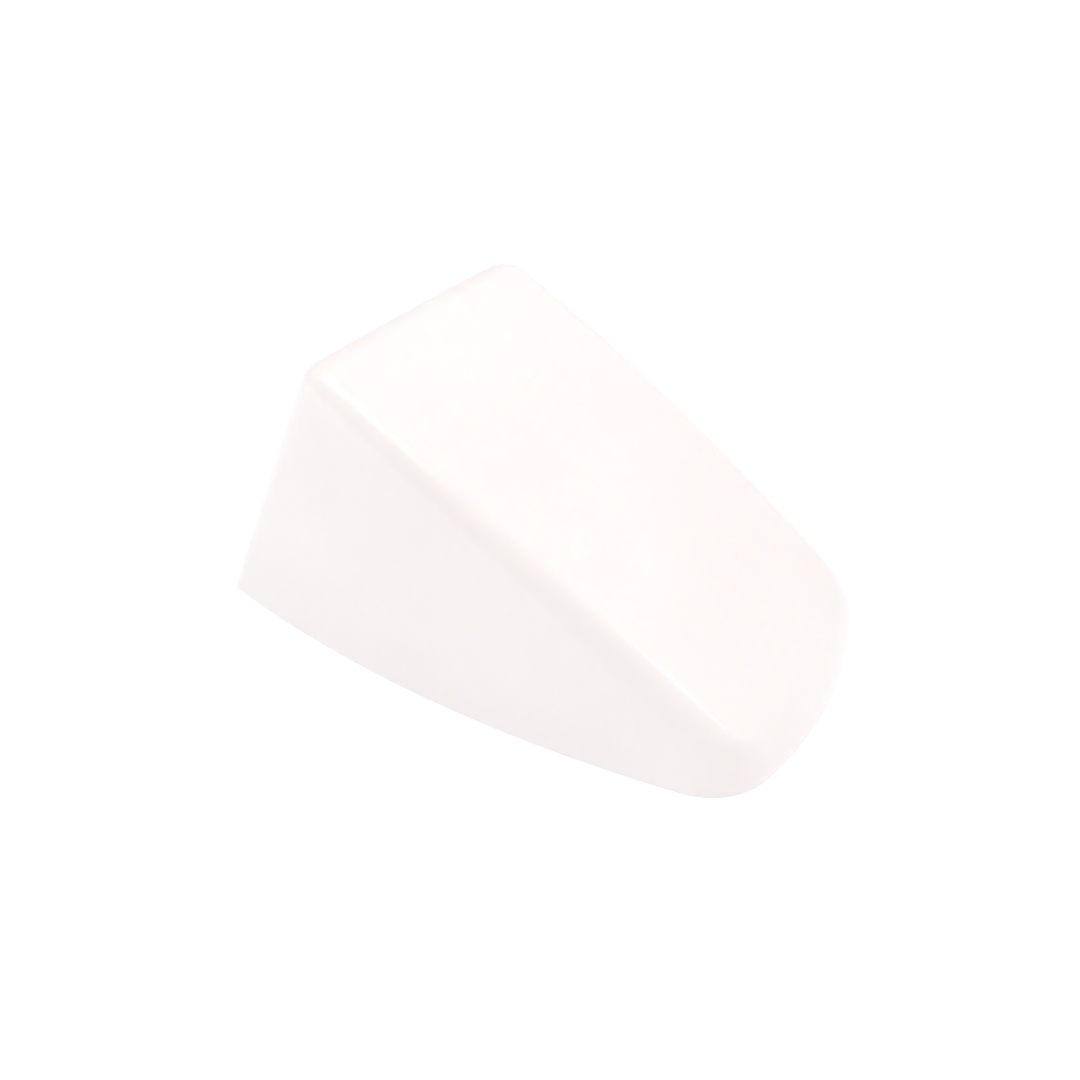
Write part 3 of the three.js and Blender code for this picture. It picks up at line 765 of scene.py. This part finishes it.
shell_mat = shell_material()
base_mat = base_material()
rubber_mat = rubber_material()
steel_mat = metal_material(
    "steel_stainless", (0.5, 0.505, 0.51), (0.66, 0.665, 0.67), 0.22, 0.38, 700,
)
brass_mat = metal_material(
    "insert_brass", (0.62, 0.42, 0.16), (0.8, 0.6, 0.27), 0.25, 0.42, 600,
)
backing_mat = metal_material(
    "backing_metallised", (0.8, 0.81, 0.82), (0.9, 0.905, 0.91), 0.12, 0.24, 240,
)
lens_mat = lens_material()


def finish_with(made, mat):
    made.data.materials.clear()
    made.data.materials.append(mat)


finish_with(shell, shell_mat)
finish_with(lens, lens_mat)
for screw, _ in screws:
    finish_with(screw, steel_mat)
for node_name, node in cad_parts.items():
    if node_name.startswith("boss_insert"):
        finish_with(node, brass_mat)
    elif "gasket" in node_name:
        finish_with(node, rubber_mat)
    elif "screw" in node_name:
        finish_with(node, steel_mat)
    elif node_name == "base_plate":
        finish_with(node, base_mat)
    elif node_name == "reflector_backing":
        finish_with(node, backing_mat)
    elif node_name == "reflector_lens":
        finish_with(node, lens_mat)
    else:
        finish_with(node, shell_mat)

# ---------------------------------------------------------------- riding on the frame
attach(shell, "root")
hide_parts("body_shell")
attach(lens, "root")
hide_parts("reflector_lens")
for screw, node_name in screws:
    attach(screw, "root")
    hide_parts(node_name)

# ---------------------------------------------------------------- floor
FLOOR_HALF = 6  # metres, as are the other lengths from here on
FLOOR_DROP = 0.0001
FLOOR_GLOW = (0.32, 0.8)  # emission strength near the origin and far from it
GLOW_REACH = (0.4, 0.8)
floor_mesh = bpy.data.meshes.new("floor")
bm = bmesh.new()
bmesh.ops.create_grid(bm, x_segments=1, y_segments=1, size=FLOOR_HALF)
bm.to_mesh(floor_mesh)
bm.free()
floor = link("floor", floor_mesh)
floor.location.z = -FLOOR_DROP
floor_mat, floor_tree, floor_shader = material("studio_floor")
floor_shader.inputs["Base Color"].default_value = (0.82, 0.82, 0.82, 1)
floor_shader.inputs["Roughness"].default_value = 0.9
floor_shader.inputs["Specular IOR Level"].default_value = 0.0
floor_shader.inputs["Emission Color"].default_value = (1, 1, 1, 1)
# painted light: the floor glows, more with distance from the origin, so that it runs into the
# white surround; the glow near the origin lifts the object's shadow on the floor
position = add(floor_tree, "ShaderNodeNewGeometry")
distance = add(floor_tree, "ShaderNodeVectorMath")
distance.operation = "LENGTH"
floor_tree.links.new(position.outputs["Position"], distance.inputs[0])
far = add(floor_tree, "ShaderNodeMapRange")
far.inputs["From Min"].default_value, far.inputs["From Max"].default_value = GLOW_REACH
far.inputs["To Min"].default_value, far.inputs["To Max"].default_value = FLOOR_GLOW
floor_tree.links.new(distance.outputs["Value"], far.inputs["Value"])
floor_tree.links.new(far.outputs["Result"], floor_shader.inputs["Emission Strength"])
finish_with(floor, floor_mat)
floor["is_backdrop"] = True

# ---------------------------------------------------------------- light
world = bpy.data.worlds.new("studio")
bpy.context.scene.world = world
world.use_nodes = True
sky_tree = world.node_tree
sky = sky_tree.nodes["Background"]
sky.inputs["Color"].default_value = (0.98, 0.95, 1, 1)
sky.inputs["Strength"].default_value = 0.63
# seen directly, the surround is plain white; the scene is lit by the dimmer, tinted sky
wall = add(sky_tree, "ShaderNodeBackground", Color=(1, 1, 1, 1))
seen = add(sky_tree, "ShaderNodeLightPath")
either = add(sky_tree, "ShaderNodeMixShader")
sky_tree.links.new(seen.outputs["Is Camera Ray"], either.inputs["Fac"])
sky_tree.links.new(sky.outputs["Background"], either.inputs[1])
sky_tree.links.new(wall.outputs["Background"], either.inputs[2])
sky_tree.links.new(either.outputs["Shader"], sky_tree.nodes["World Output"].inputs["Surface"])

LIGHT_AIM = Vector((0, 0, 0.02))


def area_light(name, place, width, height, power, colour=(1, 1, 1)):
    data = bpy.data.lights.new(name, "AREA")
    data.shape = "RECTANGLE"
    data.size = width
    data.size_y = height
    data.energy = power
    data.color = colour
    lamp = bpy.data.objects.new(name, data)
    bpy.context.scene.collection.objects.link(lamp)
    lamp.location = place
    lamp.rotation_mode = "QUATERNION"
    lamp.rotation_quaternion = (LIGHT_AIM - Vector(place)).to_track_quat("-Z", "Y")


area_light("overhead", (0, -0.07, 0.8), 0.45, 0.45, 2.05, (1, 1, 0.9))
area_light("nose_side", (0.38, 0.38, 0.6), 0.45, 0.45, 0.65, (1, 0.98, 0.9))
area_light("far_side", (0, 0.54, 0.6), 0.45, 0.45, 0.42)
area_light("near_side", (-0.55, -0.55, 0.19), 0.45, 0.3, 0.78, (1, 0.98, 0.95))
area_light("glint", (0.56, 0.3, 0.48), 0.12, 0.12, 0.36)

# ---------------------------------------------------------------- camera
AZIMUTH = math.radians(30.34)
ELEVATION = math.radians(35.94)
ROLL = math.radians(1.297)
AIM_HEIGHT = 0.15  # share of the length
LENGTH_AT_CAMERA = 0.6048  # the object's length over its distance from the camera
target = Vector((0, 0, AIM_HEIGHT * LENGTH * MM))
back = Vector((
    math.sin(AZIMUTH) * math.cos(ELEVATION),
    -math.cos(AZIMUTH) * math.cos(ELEVATION),
    math.sin(ELEVATION),
))
camera_data = bpy.data.cameras.new("camera")
camera = bpy.data.objects.new("camera", camera_data)
bpy.context.scene.collection.objects.link(camera)
camera.location = target + back * (LENGTH * MM / LENGTH_AT_CAMERA)
camera.rotation_mode = "QUATERNION"
aim = (-back).to_track_quat("-Z", "Y")
camera.rotation_quaternion = aim @ Quaternion((0, 0, 1), ROLL)
camera_data.sensor_width = 36
camera_data.lens = 32.65
camera_data.shift_x = -0.0147
camera_data.shift_y = -0.01137
camera_data.clip_start = 0.01
camera_data.clip_end = 20
bpy.context.scene.camera = camera
bpy.context.scene.view_settings.view_transform = "Standard"

bpy.context.view_layer.update()
low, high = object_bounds()
